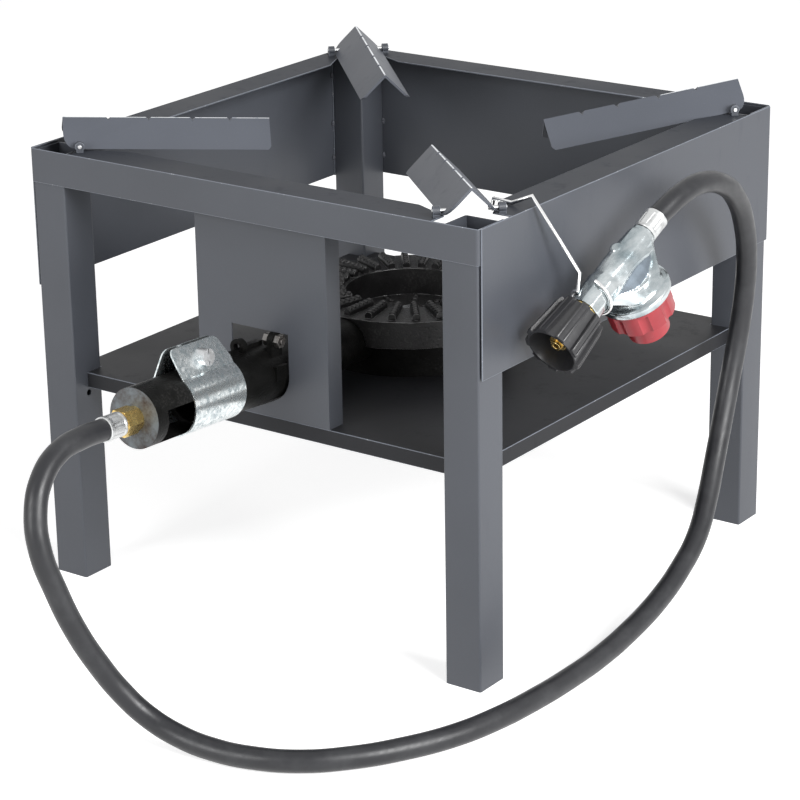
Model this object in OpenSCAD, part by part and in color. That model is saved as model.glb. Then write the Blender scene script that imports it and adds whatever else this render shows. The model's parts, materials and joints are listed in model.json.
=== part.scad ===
// Outdoor gas burner: square stand, cast burner, four hinged pot supports, hose and regulator.
// Millimetres. X runs along the front face, the mixing tube points to -Y, +Z is up.

/* [Frame] */
// Width of the stand across its front
stove_w = 406; // [380:1:440]
// Depth of the stand, front to back
stove_d = 406; // [380:1:440]
// Height of the stand's top flanges above the ground
stove_h = 342; // [330:1:360]
// Outer width of a square leg tube
leg_w = 30; // [26:1:34]
// Wall of a leg tube
leg_wall = 1.5; // [1:0.1:2.5]
// How far a leg's open top lies below the top flanges
leg_drop = 2; // [1.5:0.5:4]
// Thickness of the sheet steel
sheet_t = 1.2; // [1:0.1:1.5]
// Width of the inward top flanges
flange_w = 30; // [26:1:36]
// Distance from the stand's corner to the end of a top flange
flange_end = 40; // [40:1:44]
// Depth of the front rail
rail_h = 26; // [20:1:34]
// Depth of the side and back skirts
skirt_h = 108; // [90:1:120]
// Gap between a corner bend and the edge of a side skirt
skirt_gap = 2.5; // [1.5:0.5:4]
// Outer radius of a corner bend
bend_r = 2.5; // [1.5:0.5:4]
// Radius of the weld beads
weld_r = 2.5; // [1.5:0.5:3]
// Length of a weld bead
weld_len = 6; // [4:1:10]

/* [Shelf and shield] */
// Height of the shelf's upper face
shelf_z = 166; // [160:1:172]
// Depth of the shelf's lips
lip_h = 12; // [8:1:18]
// Distance from the stand's face to a shelf lip
lip_inset = 15; // [12:1:17]
// Diameter of the hole in the inner side of each leg
leg_hole_d = 5; // [3:0.5:7]
// Height of that hole
leg_hole_z = 149.3; // [140:1:151]
// Left edge of the shield
shield_left = -57; // [-66:1:-48]
// Right edge of the shield
shield_right = 61.5; // [50:0.5:70]
// Depth of the shield's folded sides
shield_fold = 16; // [10:1:20]
// Half width of the shield's cut-out
cut_half = 26; // [24:0.5:30]
// Height of the top of the cut-out above the shelf
cut_h = 66; // [60:1:76]

/* [Burner] */
// Outer radius of the burner across its lobes
burner_r = 88; // [82:1:92]
// Radius of the burner's lower bowl
bowl_r = 76; // [70:1:82]
// Wall of the castings
cast_wall = 5; // [4:0.5:6]
// Height of the bowl
bowl_h = 26; // [24:1:30]
// Height of the burner's ring above the bowl
ring_h = 21; // [18:1:26]
// Radius of the well in the middle
well_r = 50; // [44:1:56]
// Number of lobes round the outer wall
lobes = 20; // [14:1:26]
// Number of radial ribs on the ring
ribs = 28; // [20:1:34]
// Width of a rib
rib_w = 6; // [4:0.5:7]
// Height of a rib's arched top above the ring
rib_h = 5; // [3:0.5:7]
// Diameter of a port in the well's floor
port_d = 3; // [2:0.5:4]
// Rows of ports round the well's floor
port_rows = 12; // [8:1:16]
// Diameter of the bolt that holds the burner together
bolt_d = 8; // [6:1:10]

/* [Mixing tube] */
// Outer radius of the mixing tube
tube_r = 22; // [20:0.5:23]
// Bore radius of the mixing tube
tube_bore_r = 17.5; // [15:0.5:18]
// Height of the tube's axis under the burner's centre
tube_z = 189; // [187:0.5:191]
// Rise of the mixing tube towards its open end
tube_rise = 3; // [1:0.5:5]
// Distance from the burner's centre to the tube's end face
tube_end = 329; // [322:1:340]
// Thickness of the tube's end wall
end_wall = 9; // [6:1:10]
// Length of an air window
window_len = 49; // [44:1:50]
// Distance from the end face to the air windows
window_back = 11; // [10:1:14]
// Running clearance of the air shutter on the tube
shutter_fit = 0.08; // [0.05:0.01:0.1]
// Length of the air shutter
shutter_len = 56; // [50:1:60]
// Distance from the end face back to the shutter's near edge
shutter_back = 39; // [37:1:44]
// Turn of the shutter towards the left
shutter_turn = 6; // [0:1:12]
// Height of the shutter's ears over the tube's axis
ear_h = 39.3; // [36:0.5:44]
// Gap between the ears at their top
ear_gap = 3.4; // [2:0.2:5]
// Diameter of the shutter's screw
shutter_screw_d = 5; // [4:0.5:6]
// Width across flats of the brass orifice fitting
fitting_af = 18; // [14:1:20]
// Length of the fitting's hexagon
fitting_len = 16; // [12:1:18]

/* [Pot supports] */
// Length of a support's ridge
support_len = 155; // [140:1:165]
// Half width of a support across its lower edges
support_half = 20; // [17:0.5:23]
// Thickness of the support's angle
support_t = 1.8; // [1.5:0.1:2.5]
// Distance of the hinge axis from the stand's centre, at the nominal width
hinge_in = 37; // [35:0.5:40]
// Distance from the hinge axis to the support's outer end
support_tail = 11.5; // [9:0.5:13]
// Diameter of a hinge pin
rod_d = 3; // [2.5:0.1:3.4]
// Height of the hinge axis above the top flanges
hinge_up = 4.5; // [4.2:0.1:5]
// Length of a hinge lug
lug_len = 5; // [4:0.5:6]
// Radial clearance of a hinge pin in its holes
rod_fit = 0.1; // [0.05:0.01:0.1]
// Slope of the left and the front supports at rest
support_slope = 3.6; // [2:0.2:6]
// Slope of the back support at rest
back_slope = 2.5; // [2:0.1:6]
// Slope of the right support at rest
right_slope = 9; // [2:0.5:9.5]
// Depth of a notch in a ridge
notch_h = 2.4; // [1.5:0.1:3]

/* [Hose and regulator] */
// Outer diameter of the hose
hose_d = 16; // [14:0.5:17]
// Outer diameter of a crimped ferrule
ferrule_d = 18; // [17:0.5:20]
// Length of a crimped ferrule
ferrule_len = 17; // [14:1:20]
// Diameter of the coupling nut at its open face
nut_d = 43; // [40:0.5:45]
// Diameter of the coupling nut at its back
nut_back_d = 37; // [34:0.5:39]
// Length of the coupling nut
nut_len = 36; // [33:1:38]
// Number of wings round the coupling nut
nut_wings = 9; // [7:1:12]
// Diameter of the brass inlet nipple
nipple_d = 13; // [11:0.5:14]
// Diameter of the nipple's collar behind the nut
collar_d = 22; // [19:0.5:24]
// Diameter of the regulator's round housing
dish_d = 55; // [50:1:58]
// Diameter of the red knob's fluted disc
knob_d = 49; // [44:1:52]
// Diameter of the knob's grip
grip_d = 31; // [26:1:34]
// Flutes round the knob's disc
knob_flutes = 8; // [6:1:14]
// Diameter of the wire that carries the regulator
wire_d = 3; // [2:0.5:3.5]

/* [Hidden] */
$fn = 48;

// Small gap between faces of separate pieces that slide or turn
gap = 0.3;
half_w = stove_w / 2;
half_d = stove_d / 2;
leg_top = stove_h - leg_drop;
leg_x = half_w - 2 * sheet_t - leg_w / 2;
leg_y = half_d - sheet_t - leg_w / 2;
leg_in_x = leg_x - leg_w / 2;
leg_in_y = leg_y - leg_w / 2;
shelf_x = half_w - lip_inset;
shelf_y = half_d - lip_inset;
shield_y = -shelf_y;
flange_z = stove_h - sheet_t;

bowl_z = shelf_z + bowl_h;
ring_z = bowl_z + ring_h;
floor_t = 4;
boss_r = bolt_d / 2 + 7;
seat_r = bolt_d / 2 + 6;
neck_r = 18.5;
neck_bore_r = 13.5;
neck_len = 34;

fitting_tip = tube_end + fitting_len;
hose_start = fitting_tip + ferrule_len;
window_far = tube_end - window_back;
window_near = window_far - window_len;
shutter_front = tube_end - shutter_back;
shutter_rear = shutter_front - shutter_len;
shutter_ri = tube_r + shutter_fit;
rib_from = shutter_rear - 44;
eye_at = shutter_rear - 20;
screw_head_r = 6.2;
shutter_t = 1.2;
shutter_ro = shutter_ri + shutter_t;
ear_base_x = 11.5;
ear_base_h = sqrt(shutter_ro * shutter_ro - ear_base_x * ear_base_x);
ear_hole_h = 29;
ear_hole_l = shutter_front - 28;
ear_lean = atan((ear_base_x - ear_gap / 2) / (ear_h - ear_base_h));
ear_x = ear_base_x - (ear_hole_h - ear_base_h) * tan(ear_lean);

// The stand is centred between the back skirt and the tip of the orifice fitting
tip_drop = fitting_af / sqrt(3) * sin(tube_rise);
y_shift = (fitting_tip * cos(tube_rise) + tip_drop - half_d) / 2;

hinge_r = (half_w + half_d) / sqrt(2) - hinge_in;
hinge_z = stove_h + hinge_up;
edge_drop = 2.7;
notch_places = [34, 64, 97, 125];

nut_face = [230, -156, 248];
reg_yaw = 6.1;
reg_pitch = 30.3;
tip_y = 5;
pin_start = 8;
pin_end = 25;
shank_r = nipple_d / 2 + 1;
reg_body_y = 40;
reg_neck_end = 66;
reg_neck_r = 12;
reg_end_y = 137;
reg_ferrule_y = reg_end_y - ferrule_len;
dish_y = 90;
dish_bottom = -31;
rim_w = 6;
knob_gap = 0.5;
knob_h = 18;
grip_h = 17;
knob_top = dish_bottom - knob_gap;
stem_r = 6;
ground = hose_d / 2 + 0.3;

function unit(v) = v / norm(v);
function tube_point(l) = [0, -l * cos(tube_rise), tube_z + l * sin(tube_rise)];
function turn_x(v, a) = [v[0], v[1] * cos(a) - v[2] * sin(a), v[1] * sin(a) + v[2] * cos(a)];
function turn_z(v, a) = [v[0] * cos(a) - v[1] * sin(a), v[0] * sin(a) + v[1] * cos(a), v[2]];
function reg_point(v) = nut_face + turn_z(turn_x(v, reg_pitch), -reg_yaw);

// Route of the hose, chosen by hand, from the orifice fitting to the regulator
hose_first = tube_point(hose_start);
hose_last = reg_point([0, reg_end_y, 0]);
hose_middle = [
    [0, -382, 209], [0, -406, 206], [3, -427, 194], [8, -440, 175], [14, -444, 151],
    [20, -438, 122], [27, -429, 92], [35, -417, 64], [45, -406, 41], [60, -397, 23],
    [82, -391, 12], [108, -388, ground], [138, -383, ground], [168, -369, ground],
    [193, -346, ground], [215, -315, ground], [232, -280, ground], [242, -242, ground],
    [247, -202, ground], [249, -161, ground], [250, -120, 10], [251, -80, 16],
    [251, -42, 25], [249, -7, 37], [245, 25, 52], [238, 52, 72], [231, 75, 95],
    [226, 95, 122], [224, 109, 151], [225, 118, 183], [228, 120, 215], [233, 113, 247],
    [239, 97, 277], [245, 72, 305], [249, 43, 323], [249, 12, 331], [247, -13, 328]];
hose_points = concat([hose_first], hose_middle, [hose_last]);
hose_sides = 10;
hose_in = unit(tube_point(1) - tube_point(0));
hose_out = unit(reg_point([0, 0, 0]) - reg_point([0, 1, 0]));
wire_sides = 8;

function course(p, i, first, last) =
    i == 0 ? first : i == len(p) - 1 ? last : unit(p[i + 1] - p[i - 1]);
function side_of(prev, t) = unit(prev - (prev * t) * t);
function sides_along(p, first, last, i, found) =
    i == len(p) ? found : sides_along(p, first, last, i + 1, concat(found,
        [side_of(i == 0 ? [1, 0.01, 0.02] : found[i - 1], course(p, i, first, last))]));

// A round bar swept along points, its ends square to the two given directions
module sweep(p, d, sides, first, last) {
    across = sides_along(p, first, last, 0, []);
    verts = [for (i = [0:len(p) - 1]) for (k = [0:sides - 1])
        let (t = course(p, i, first, last), b = cross(t, across[i]), a = 360 * (k + 0.5) / sides)
        p[i] + d / 2 * (cos(a) * across[i] + sin(a) * b)];
    walls = [for (i = [0:len(p) - 2]) for (k = [0:sides - 1])
        let (a = i * sides + k, b = i * sides + (k + 1) % sides)
        for (f = [[a, a + sides, b], [b, a + sides, b + sides]]) f];
    start = [for (k = [1:sides - 2]) [0, k, k + 1]];
    top = (len(p) - 1) * sides;
    end = [for (k = [1:sides - 2]) [top, top + k + 1, top + k]];
    polyhedron(points = verts, faces = concat(walls, start, end));
}

// Places
module placed() {
    translate([0, y_shift, 0]) children();
}
module on_tube() {
    // Local Z runs out along the tube, local Y is up across it, local X stays
    placed() translate([0, 0, tube_z]) rotate([90 - tube_rise, 0, 0]) children();
}
module on_regulator() {
    placed() translate(nut_face) rotate([reg_pitch, 0, -reg_yaw]) children();
}
module on_corner(turn) {
    // Local -Y points from the hinge to the stand's centre
    placed() rotate([0, 0, turn]) translate([0, hinge_r, hinge_z]) children();
}
module along_y(y0, y1, r0, r1) {
    translate([0, y0, 0]) rotate([-90, 0, 0]) cylinder(h = y1 - y0, r1 = r0, r2 = r1);
}
module hex(af, h) {
    cylinder(h = h, r = af / sqrt(3), $fn = 6);
}
module rounded_square(w, h, r) {
    square([w - 2 * r, h], center = true);
    square([w, h - 2 * r], center = true);
    for (x = [-1, 1]) for (y = [-1, 1])
        translate([x * (w / 2 - r), y * (h / 2 - r)]) circle(r);
}

// Stand
module leg(sx, sy) {
    color("dimgray") placed() difference() {
        translate([sx * leg_x, sy * leg_y, 0]) linear_extrude(leg_top) difference() {
            rounded_square(leg_w, leg_w, leg_wall);
            square(leg_w - 2 * leg_wall, center = true);
        }
        translate([sx * (leg_in_x - 1), sy * leg_y, leg_hole_z]) rotate([0, sx * 90, 0])
            cylinder(h = leg_wall + 2, d = leg_hole_d);
    }
}
module leg_front_left() {
    leg(-1, -1);
}
module leg_front_right() {
    leg(1, -1);
}
module leg_back_left() {
    leg(-1, 1);
}
module leg_back_right() {
    leg(1, 1);
}
// Sheet bent round both front corners, seen from above, with the stand behind it
module bent_sheet(h) {
    w = stove_w - 2 * sheet_t;
    translate([0, 0, stove_h - h]) linear_extrude(h) difference() {
        union() {
            translate([-w / 2, -half_d + bend_r]) square([w, leg_w + sheet_t - bend_r]);
            translate([-w / 2 + bend_r, -half_d]) square([w - 2 * bend_r, leg_w]);
            for (s = [-1, 1]) translate([s * (w / 2 - bend_r), -half_d + bend_r]) circle(bend_r);
        }
        translate([-w / 2 + sheet_t, -half_d + sheet_t]) square([w - 2 * sheet_t, leg_w + 1]);
    }
}
// Top flange along -Y with cut-back corners, for a face of half length reach
module flange(reach, face) {
    end = reach - flange_end;
    translate([0, 0, flange_z]) linear_extrude(sheet_t) polygon([
        [-end, -face + sheet_t / 2], [end, -face + sheet_t / 2], [end, -face + flange_w * 0.55],
        [end - flange_w, -face + flange_w], [-end + flange_w, -face + flange_w],
        [-end, -face + flange_w * 0.55]]);
}
module front_rail() {
    color("slategray") placed() {
        bent_sheet(rail_h);
        flange(half_w, half_d);
    }
}
module back_skirt() {
    color("slategray") placed() rotate([0, 0, 180]) {
        bent_sheet(skirt_h);
        flange(half_w, half_d);
    }
}
module side_skirt(turn) {
    color("slategray") placed() rotate([0, 0, turn]) {
        translate([-half_d + skirt_gap, -half_w, stove_h - skirt_h])
            cube([stove_d - 2 * skirt_gap, sheet_t, skirt_h]);
        flange(half_d, half_w);
    }
}
module left_skirt() {
    side_skirt(-90);
}
module right_skirt() {
    side_skirt(90);
}
// Quarter-round bead of weld in an inside corner
module bead(x, y, z, sx, sy) {
    translate([x, y, z - weld_len / 2]) linear_extrude(weld_len) intersection() {
        circle(weld_r);
        translate([sx > 0 ? 0 : -weld_r, sy > 0 ? 0 : -weld_r]) square(weld_r);
    }
}
module tack_welds() {
    levels = [20, 62, 92];
    color("gray") placed() for (sx = [-1, 1]) {
        bead(sx * leg_in_x, -half_d + sheet_t, stove_h - rail_h / 2, -sx, 1);
        for (d = levels) {
            bead(sx * leg_in_x, half_d - sheet_t, stove_h - d, -sx, -1);
            for (sy = [-1, 1])
                bead(sx * (half_w - sheet_t), sy * leg_in_y, stove_h - d, -sx, -sy);
        }
        for (sy = [-1, 1]) {
            bead(sx * leg_in_x, sy * (shelf_y - sheet_t), shelf_z - lip_h / 2, -sx, -sy);
            bead(sx * (shelf_x - sheet_t), sy * leg_in_y, shelf_z - lip_h / 2, -sx, -sy);
        }
    }
}
module shelf() {
    color("darkslategray") placed() difference() {
        translate([-shelf_x, -shelf_y, shelf_z - lip_h]) cube([2 * shelf_x, 2 * shelf_y, lip_h]);
        translate([-shelf_x + sheet_t, -shelf_y + sheet_t, shelf_z - lip_h - 1])
            cube([2 * (shelf_x - sheet_t), 2 * (shelf_y - sheet_t), lip_h - sheet_t + 1]);
        for (sx = [-1, 1]) for (sy = [-1, 1])
            translate([sx * leg_x, sy * leg_y, shelf_z - lip_h / 2])
                cube([leg_w, leg_w, lip_h + 2], center = true);
        translate([0, 0, shelf_z - lip_h - 1]) cylinder(h = lip_h + 2, d = bolt_d + 1);
    }
}
module front_shield() {
    top = flange_z;
    width = shield_right - shield_left;
    color("slategray") placed() difference() {
        translate([shield_left, shield_y, shelf_z]) cube([width, shield_fold, top - shelf_z]);
        translate([shield_left + sheet_t, shield_y + sheet_t, shelf_z - 1])
            cube([width - 2 * sheet_t, shield_fold, top - shelf_z + 2]);
        translate([0, shield_y + 2 * sheet_t, shelf_z]) rotate([90, 0, 0])
            linear_extrude(3 * sheet_t) {
                translate([-cut_half, 33]) square([2 * cut_half, cut_h - 33]);
                translate([cut_half - 22.5, 34]) circle(22.5);
                polygon([[-cut_half, -1], [-cut_half, 34], [cut_half - 22.5, 34],
                    [12, 12.8], [-18, -1]]);
            }
    }
}

// Burner
function ring_points(r, n) = [for (i = [0:n - 1]) r * [cos(360 * i / n), sin(360 * i / n)]];
module burner_body() {
    taper = bowl_r + neck_len / 2;
    full = bowl_r + neck_len;
    bore_end = tube_end - end_wall;
    color("#1d1b1b") difference() {
        union() {
            placed() translate([0, 0, shelf_z]) cylinder(h = bowl_h, r = bowl_r);
            on_tube() {
                translate([0, 0, bowl_r - cast_wall - 1]) cylinder(
                    h = taper - bowl_r + cast_wall + 2, r = neck_r);
                translate([0, 0, taper]) cylinder(h = full - taper, r1 = neck_r, r2 = tube_r);
                translate([0, 0, full - 0.01]) cylinder(h = tube_end - full + 0.01, r = tube_r);
                tube_lugs();
            }
        }
        placed() difference() {
            translate([0, 0, shelf_z + cast_wall]) cylinder(h = bowl_h, r = bowl_r - cast_wall);
            translate([0, 0, shelf_z]) cylinder(h = bowl_h - floor_t, r = boss_r);
        }
        placed() translate([0, 0, shelf_z - 1]) cylinder(h = bowl_h + 2, d = bolt_d + 0.4);
        on_tube() {
            translate([0, 0, bowl_r - cast_wall - 3]) cylinder(
                h = taper - bowl_r + cast_wall + 3.01, r = neck_bore_r);
            translate([0, 0, taper]) cylinder(
                h = full - taper + 0.01, r1 = neck_bore_r, r2 = tube_bore_r);
            translate([0, 0, full]) cylinder(h = bore_end - full, r = tube_bore_r);
            translate([0, 0, bore_end - 1]) cylinder(h = end_wall + 2, d = 10);
            translate([-tube_r - 5, -19, window_near]) cube([2 * tube_r + 10, 26, window_len]);
        }
    }
}
// Ring lug, rib, bolt ear and rough pad on top of the mixing tube
module tube_lugs() {
    difference() {
        union() {
            translate([0, tube_r + 3, eye_at - 2.5]) cylinder(h = 5, r = 6);
            translate([-2.5, tube_r - 3, rib_from]) cube([5, 6, eye_at - rib_from]);
            translate([11, tube_r - 9, rib_from - 6]) cube([5, 14, 12]);
            translate([11, tube_r + 5, rib_from]) rotate([0, 90, 0]) cylinder(h = 5, r = 6);
            translate([tube_r - 5, -1, rib_from - 4]) cube([6, 11, 13]);
        }
        translate([0, tube_r + 3, eye_at - 5]) cylinder(h = 10, r = 3);
        translate([8, tube_r + 5, rib_from]) rotate([0, 90, 0]) cylinder(h = 12, r = 2.7);
    }
}
module burner_head() {
    plate = ring_z - floor_t;
    color("#1d1b1b") placed() difference() {
        union() {
            difference() {
                translate([0, 0, bowl_z]) linear_extrude(ring_h)
                    polygon(ring_points(burner_r, lobes));
                translate([0, 0, bowl_z - 1]) cylinder(h = ring_h - floor_t + 1,
                    r = bowl_r - cast_wall);
                translate([0, 0, bowl_z]) cylinder(h = ring_h + 1, r = well_r);
            }
            translate([0, 0, bowl_z - floor_t]) difference() {
                cylinder(h = ring_h, r = well_r + cast_wall);
                translate([0, 0, floor_t]) cylinder(h = ring_h + 1, r = well_r);
            }
            for (i = [0:ribs - 1]) rotate([0, 0, 360 * i / ribs]) {
                translate([well_r + 2, -rib_w / 2, plate + floor_t / 2])
                    cube([burner_r - well_r - 8, rib_w, floor_t / 2 + rib_h - rib_w / 2]);
                translate([well_r + 2, 0, ring_z + rib_h - rib_w / 2]) rotate([0, 90, 0])
                    cylinder(h = burner_r - well_r - 8, d = rib_w);
            }
        }
        for (i = [0:port_rows - 1]) for (r = [seat_r + 8:9:well_r - 4])
            rotate([0, 0, 360 * i / port_rows]) translate([r, 0, bowl_z - floor_t - 1])
                cylinder(h = floor_t + 2, d = port_d);
        translate([0, 0, bowl_z - floor_t - 1]) cylinder(h = floor_t + 2, d = bolt_d + 0.4);
        translate([0, 0, tube_z]) rotate([90 - tube_rise, 0, 0])
            translate([0, 0, well_r + cast_wall + 2]) cylinder(h = 60, r = neck_r + gap);
    }
}
module burner_bolt() {
    color("silver") placed() {
        translate([0, 0, shelf_z - 14]) cylinder(h = bowl_h + 14 + 1, d = bolt_d);
        translate([0, 0, bowl_z]) hex(bolt_d * 1.6, bolt_d * 0.65);
    }
}
module burner_nut() {
    color("silver") placed() translate([0, 0, shelf_z - sheet_t - bolt_d * 0.8]) difference() {
        hex(bolt_d * 1.6, bolt_d * 0.8);
        translate([0, 0, -1]) cylinder(h = bolt_d, d = bolt_d);
    }
}
module lug_bolt() {
    color("dimgray") on_tube() translate([11, tube_r + 5, rib_from])
        rotate([0, 90, 0]) {
            translate([0, 0, -5]) hex(9, 5);
            cylinder(h = 11, d = 5);
        }
}
module lug_nut() {
    color("dimgray") on_tube() translate([16, tube_r + 5, rib_from])
        rotate([0, 90, 0]) difference() {
            hex(9, 4.5);
            translate([0, 0, -1]) cylinder(h = 7, d = 5);
        }
}

// Air shutter: a sleeve that slides on the tube, with two ears clamped by a screw
module air_shutter() {
    ear_t = shutter_t / cos(ear_lean);
    step = tan(ear_lean);
    ear_rear = shutter_rear + 4;
    r = 5;
    top = ear_h + 2;
    color("lightsteelblue") on_tube() rotate([0, 0, shutter_turn]) difference() {
        translate([0, 0, shutter_rear]) union() {
            cylinder(h = shutter_len, r = shutter_ro);
            linear_extrude(shutter_len) polygon([
                [-ear_base_x - ear_t - step, ear_base_h - 1], [-ear_gap / 2 - ear_t, ear_h],
                [ear_gap / 2 + ear_t, ear_h], [ear_base_x + ear_t + step, ear_base_h - 1]]);
        }
        translate([0, 0, shutter_rear - 1]) cylinder(h = shutter_len + 2, r = shutter_ri);
        translate([0, 0, shutter_rear - 1]) linear_extrude(shutter_len + 2) polygon([
            [-ear_base_x - 6 * step, ear_base_h - 6], [-ear_gap / 2 + step, ear_h + 1],
            [ear_gap / 2 - step, ear_h + 1], [ear_base_x + 6 * step, ear_base_h - 6]]);
        // The ears' slanted rear edge and round front corner, seen from the side
        rotate([0, -90, 0]) linear_extrude(80, center = true) {
            polygon(concat([[shutter_rear - 1, ear_base_h + 1]],
                [for (a = [160:-20:90]) [ear_rear + r + r * cos(a), ear_h - r + r * sin(a)]],
                [[ear_rear + r, top], [shutter_rear - 1, top]]));
            polygon(concat([[shutter_front - r, top]],
                [for (a = [90:-22.5:0]) [shutter_front - r + r * cos(a), ear_h - r + r * sin(a)]],
                [[shutter_front + 1, ear_h - r], [shutter_front + 1, top]]));
        }
        translate([0, ear_hole_h, ear_hole_l]) rotate([0, 90, 0])
            cylinder(h = 60, d = shutter_screw_d + 0.2, center = true);
    }
}
// Everything beyond the outer face of the right ear
module beyond_ear() {
    t = shutter_t / cos(ear_lean);
    translate([0, 0, shutter_rear]) linear_extrude(shutter_len) polygon([
        [ear_base_x + t, ear_base_h], [ear_gap / 2 + t, ear_h],
        [40, ear_h], [40, ear_base_h]]);
}
module shutter_screw() {
    color("silver") on_tube() rotate([0, 0, shutter_turn]) {
        translate([-ear_x - 8, ear_hole_h, ear_hole_l]) rotate([0, 90, 0])
            cylinder(h = 2 * ear_x + 16, d = shutter_screw_d);
        intersection() {
            translate([0, ear_hole_h, ear_hole_l]) rotate([0, 90, 0]) difference() {
                cylinder(h = ear_x + 8, r = screw_head_r);
                translate([-0.7, -screw_head_r - 1, ear_x + 6.5])
                    cube([1.4, 2 * screw_head_r + 2, 3]);
            }
            beyond_ear();
        }
    }
}
module shutter_nut() {
    color("silver") on_tube() rotate([0, 0, shutter_turn]) difference() {
        intersection() {
            translate([0, ear_hole_h, ear_hole_l]) rotate([0, -90, 0]) hex(8, ear_x + 6.5);
            mirror([1, 0, 0]) beyond_ear();
        }
        translate([0, ear_hole_h, ear_hole_l]) rotate([0, -90, 0])
            cylinder(h = 40, d = shutter_screw_d);
    }
}
module orifice_fitting() {
    color("goldenrod") on_tube() difference() {
        union() {
            translate([0, 0, tube_end - end_wall - 8]) cylinder(h = end_wall + 8.5, d = 10);
            translate([0, 0, tube_end]) cylinder(h = 3, d = fitting_af);
            translate([0, 0, tube_end + 2]) hex(fitting_af, fitting_len - 2);
        }
        translate([0, 0, tube_end - end_wall - 9]) cylinder(h = 40, d = 1.6);
        translate([0, 0, tube_end]) cylinder(h = fitting_len + 1, d = 6);
    }
}

// Pot supports: a right-angled strip, ridge upwards, hinged at its outer end
module pot_support(slope) {
    ridge = support_half;
    reach = support_len - support_tail;
    inner = support_half - support_t * sqrt(2);
    corner = 9;
    notch = notch_h * sqrt(2);
    color("slategray") rotate([slope, 0, 0]) difference() {
        translate([0, 0, -edge_drop]) intersection() {
            translate([0, support_tail, 0]) rotate([90, 0, 0]) linear_extrude(support_len)
                polygon([[-support_half, 0], [0, ridge], [support_half, 0],
                    [inner, 0], [0, inner], [-inner, 0]]);
            translate([-50, 0, 0]) rotate([90, 0, 90]) linear_extrude(100) polygon(concat(
                [[-reach, ridge + 1], [-reach, 2], [2 - reach, 0]],
                [for (a = [-90:15:0]) [support_tail - corner + corner * cos(a),
                    corner + corner * sin(a)]],
                [[support_tail, ridge + 1]]));
        }
        rotate([0, 90, 0]) cylinder(h = 80, d = rod_d + 2 * rod_fit, center = true);
        for (n = notch_places) translate([0, support_tail - n, ridge - edge_drop])
            rotate([45, 0, 0]) cube([20, notch, notch], center = true);
    }
}
module support_left() {
    on_corner(135) pot_support(support_slope);
}
module support_front() {
    on_corner(-135) pot_support(support_slope);
}
module support_back() {
    on_corner(45) pot_support(back_slope);
}
module support_right() {
    on_corner(-45) pot_support(right_slope);
}
// Short pins, one at each side of each support, held by the ring lugs on the flanges
module hinge_pins() {
    pin_in = support_half - 7;
    pin_out = support_half + gap + lug_len + 0.8;
    color("silver") for (turn = [45, 135, -135, -45]) on_corner(turn) for (s = [-1, 1])
        translate([s * (pin_in + pin_out) / 2, 0, 0]) rotate([0, 90, 0])
            cylinder(h = pin_out - pin_in, d = rod_d, center = true);
}
module hinge_lugs() {
    color("gray") for (turn = [45, 135, -135, -45]) on_corner(turn) for (s = [-1, 1])
        translate([s * (support_half + gap + lug_len / 2), 0, 0]) difference() {
            union() {
                rotate([0, 90, 0]) cylinder(h = lug_len, r = 3.5, center = true);
                translate([-lug_len / 2, -2.5, -hinge_up]) cube([lug_len, 5, hinge_up]);
            }
            rotate([0, 90, 0]) cylinder(h = lug_len + 2, d = rod_d, center = true);
        }
}

// Hose and regulator
module burner_ferrule() {
    color("silver") on_tube() translate([0, 0, fitting_tip]) difference() {
        cylinder(h = ferrule_len, d = ferrule_d);
        for (z = [4, 9]) translate([0, 0, z]) difference() {
            cylinder(h = 2, d = ferrule_d + 2);
            translate([0, 0, -1]) cylinder(h = 4, d = ferrule_d - 1.2);
        }
        translate([0, 0, -1]) cylinder(h = ferrule_len - 1, d = 6);
    }
}
module regulator_ferrule() {
    color("gainsboro") on_regulator() translate([0, reg_ferrule_y, 0]) rotate([-90, 0, 0])
        difference() {
            cylinder(h = ferrule_len, d = ferrule_d);
            for (z = [4, 9]) translate([0, 0, z]) difference() {
                cylinder(h = 2, d = ferrule_d + 2);
                translate([0, 0, -1]) cylinder(h = 4, d = ferrule_d - 1.2);
            }
            translate([0, 0, -1]) cylinder(h = ferrule_len - 1, d = 6);
        }
}
module hose() {
    color("#202022") placed() sweep(hose_points, hose_d, hose_sides, hose_in, hose_out);
}
module regulator_body() {
    color("silver") on_regulator() difference() {
        union() {
            along_y(reg_body_y, reg_neck_end, reg_neck_r, reg_neck_r);
            along_y(reg_neck_end - 2, reg_ferrule_y - 4, reg_neck_r + 1, 10.5);
            along_y(reg_ferrule_y - 6, reg_ferrule_y, 9, 9);
            translate([0, dish_y, dish_bottom]) cylinder(h = 7, d = dish_d);
            translate([0, dish_y, dish_bottom + 7])
                cylinder(h = 9, d1 = dish_d - 2 * rim_w, d2 = dish_d - 3 * rim_w);
            translate([0, dish_y, dish_bottom + 16]) cylinder(h = 14, d1 = dish_d - 3 * rim_w, d2 = 18);
        }
        along_y(reg_body_y - 1, reg_body_y + 16, 5.2, 5.2);
        along_y(reg_ferrule_y - 12, reg_ferrule_y + 1, 3, 3);
        translate([0, dish_y, dish_bottom - 1]) cylinder(h = 9, r = stem_r + 0.05);
    }
}
module knob() {
    color("crimson") on_regulator() translate([0, dish_y, knob_top]) rotate([180, 0, 0]) {
        difference() {
            union() {
                cylinder(h = knob_h, d = knob_d);
                cylinder(h = knob_h + grip_h, d = grip_d);
            }
            for (i = [0:knob_flutes - 1]) rotate([0, 0, 360 * i / knob_flutes])
                translate([knob_d / 2 + 5.5, 0, 3]) cylinder(h = knob_h, r = 7);
        }
        translate([0, 0, -6]) cylinder(h = 7, r = stem_r);
    }
}
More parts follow.
